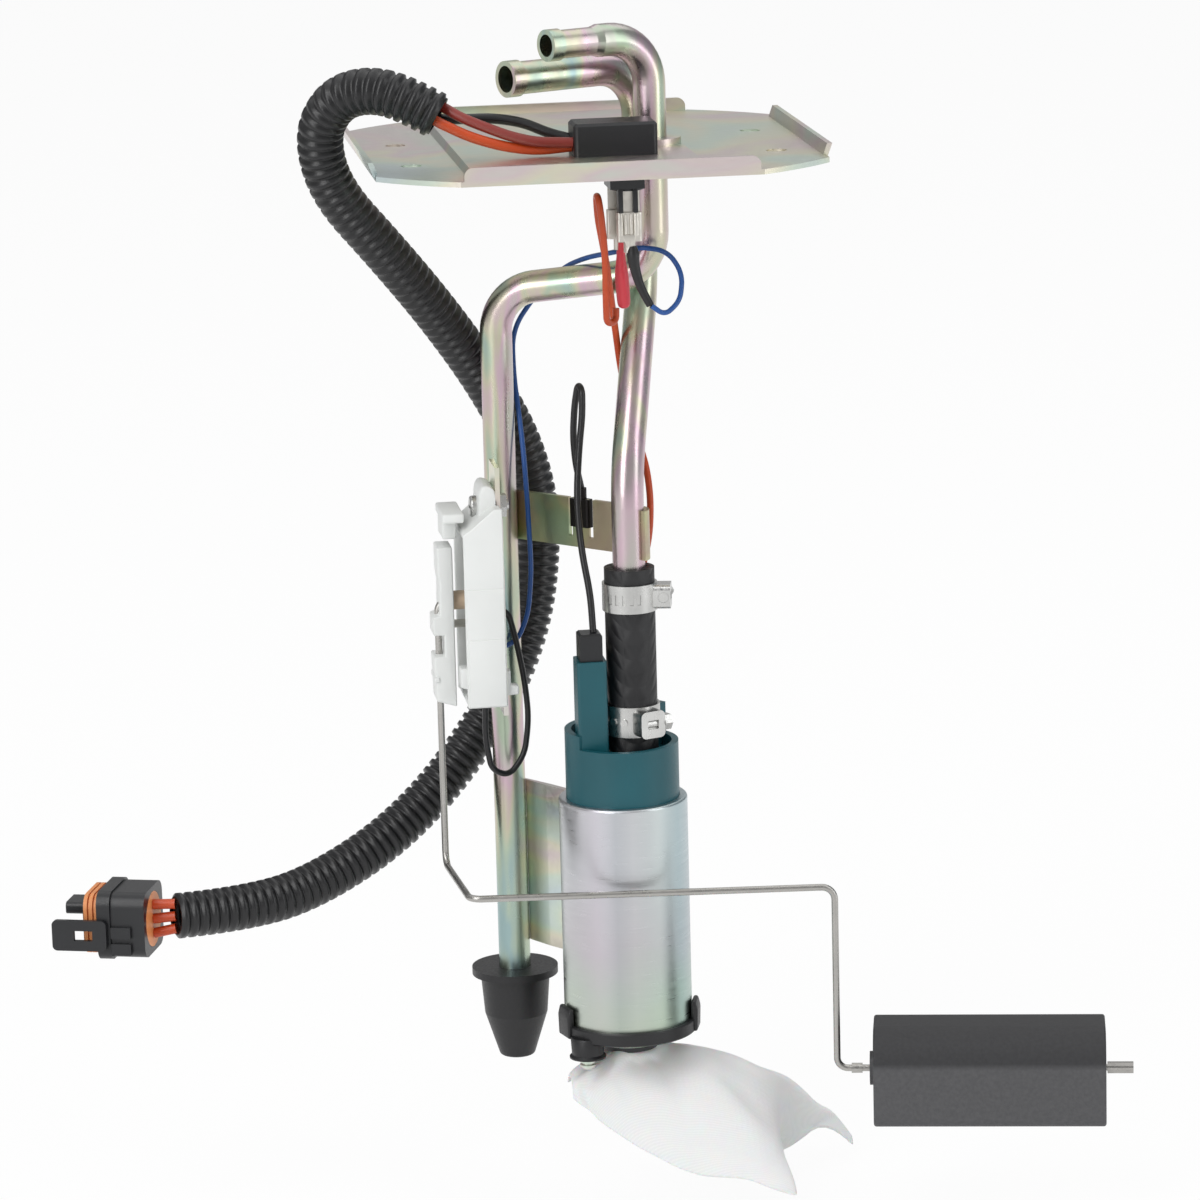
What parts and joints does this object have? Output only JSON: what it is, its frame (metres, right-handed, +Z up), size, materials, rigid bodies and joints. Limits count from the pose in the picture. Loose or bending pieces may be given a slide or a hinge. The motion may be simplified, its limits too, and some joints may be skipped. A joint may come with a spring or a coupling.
{
  "type": "fuel pump module",
  "caption": "Fuel pump module: a flange plate with bent pipes carries an electric pump on a hose, a strainer sock, a level sender with a float arm, and a wired connector.",
  "frame": {"origin": "centre of the flange plate's underside, where the module seats on the fuel tank", "axes": "+Z up out of the tank, +X to the module's right, +Y to its back"},
  "size_m": [0.3132, 0.1594, 0.346],
  "materials": {
    "zinc_plate": "iridescent zinc plating, satin",
    "zinc_pipe": "iridescent zinc plating on drawn tube, satin",
    "black_rubber": "moulded rubber, satin",
    "black_plastic": "moulded nylon, satin",
    "tinned_terminal": "tinned brass sheet",
    "red_sleeve": "heat-shrink sleeve, satin",
    "stainless": "stainless steel, satin",
    "teal_plastic": "moulded acetal, satin",
    "brass_valve": "machined and sheet brass",
    "tin_can": "zinc-plated drawn steel, satin",
    "ferrite": "sintered ferrite and carbon, matt",
    "armature_steel": "laminated core with copper commutator",
    "cast_aluminium": "die-cast, matt",
    "strainer_cloth": "woven white nylon mesh",
    "white_plastic": "moulded acetal, satin",
    "card_ceramic": "alumina card with a printed track",
    "tan_plastic": "moulded bearing plastic",
    "float_foam": "closed-cell nitrile foam, matt",
    "red_wire": "wire insulation, satin",
    "orange_wire": "wire insulation, satin",
    "black_wire": "wire insulation, satin",
    "blue_wire": "wire insulation, satin",
    "orange_seal": "silicone seal"
  },
  "bodies": {
    "module": {"flange_plate": "zinc_plate", "pipe_collar": "zinc_plate", "return_pipe": "zinc_pipe", "feed_pipe": "zinc_pipe", "rubber_foot": "black_rubber", "bulkhead_block": "black_plastic", "terminal_boss": "black_plastic", "spade_blades": "tinned_terminal", "female_terminals": "tinned_terminal", "red_sleeve": "red_sleeve", "black_sleeve": "black_rubber", "tube_strap": "zinc_plate", "ground_terminal": "tinned_terminal", "fuel_hose": "black_rubber", "upper_clamp_band": "stainless", "upper_clamp_screw": "stainless", "lower_clamp_band": "stainless", "lower_clamp_screw": "stainless", "pump_cap": "teal_plastic", "valve_spring": "stainless", "pump_plug": "black_plastic", "pump_can": "tin_can", "pump_magnets": "ferrite", "carbon_brushes": "ferrite", "brush_springs": "stainless", "pump_chamber": "cast_aluminium", "pump_inlet": "cast_aluminium", "pump_isolator": "black_rubber", "isolator_stud": "zinc_plate", "strainer_ferrule": "black_plastic", "strainer_sock": "strainer_cloth", "pump_cradle": "zinc_plate", "sender_plate": "zinc_plate", "sender_case": "white_plastic", "sender_screw": "stainless", "sender_nut": "stainless", "resistor_card": "card_ceramic", "hub_bush": "tan_plastic", "harness_wire_red": "red_wire", "harness_wire_orange": "orange_wire", "harness_wire_black": "black_wire", "harness_conduit": "black_plastic", "connector_body": "black_plastic", "connector_rear_seal": "orange_seal", "connector_front_seal": "orange_seal", "connector_pigtail": "orange_wire", "orange_lead": "orange_wire", "blue_lead": "blue_wire", "ground_lead": "black_wire", "sender_lead": "black_wire"},
    "float_arm": {"float_wire": "stainless", "arm_carrier": "white_plastic", "wiper": "brass_valve"},
    "float_body": {"float": "float_foam"},
    "rotor": {"pump_armature": "armature_steel", "pump_impeller": "black_plastic"},
    "outlet_valve": {"check_valve": "brass_valve"},
    "latch_arm": {"connector_latch": "black_plastic"}
  },
  "joints": [
    {"name": "arm_hinge", "type": "hinge", "parent": "module", "child": "float_arm", "pos_m": [-0.048, -0.018, -0.1293], "axis": [-1, 0, 0], "range_deg": [0, 90]},
    {"name": "float_spin", "type": "hinge", "parent": "float_arm", "child": "float_body", "pos_m": [0.10562, -0.06781, -0.268], "axis": [0.9781, -0.2079, 0], "continuous": true},
    {"name": "rotor_spin", "type": "hinge", "parent": "module", "child": "rotor", "pos_m": [0.0031, -0.035, -0.215], "axis": [0, 0, 1], "continuous": true},
    {"name": "valve_lift", "type": "slide", "parent": "module", "child": "outlet_valve", "axis": [0, 0, 1], "range_m": [0, 0.0012], "stiffness_N_per_m": 80, "deforming": ["valve_spring"]},
    {"name": "latch_flex", "type": "hinge", "parent": "module", "child": "latch_arm", "pos_m": [-0.15005, -0.03213, -0.2211], "axis": [0, 0, 1], "range_deg": [0, 8], "stiffness_Nm_per_rad": 0.05}
  ]
}
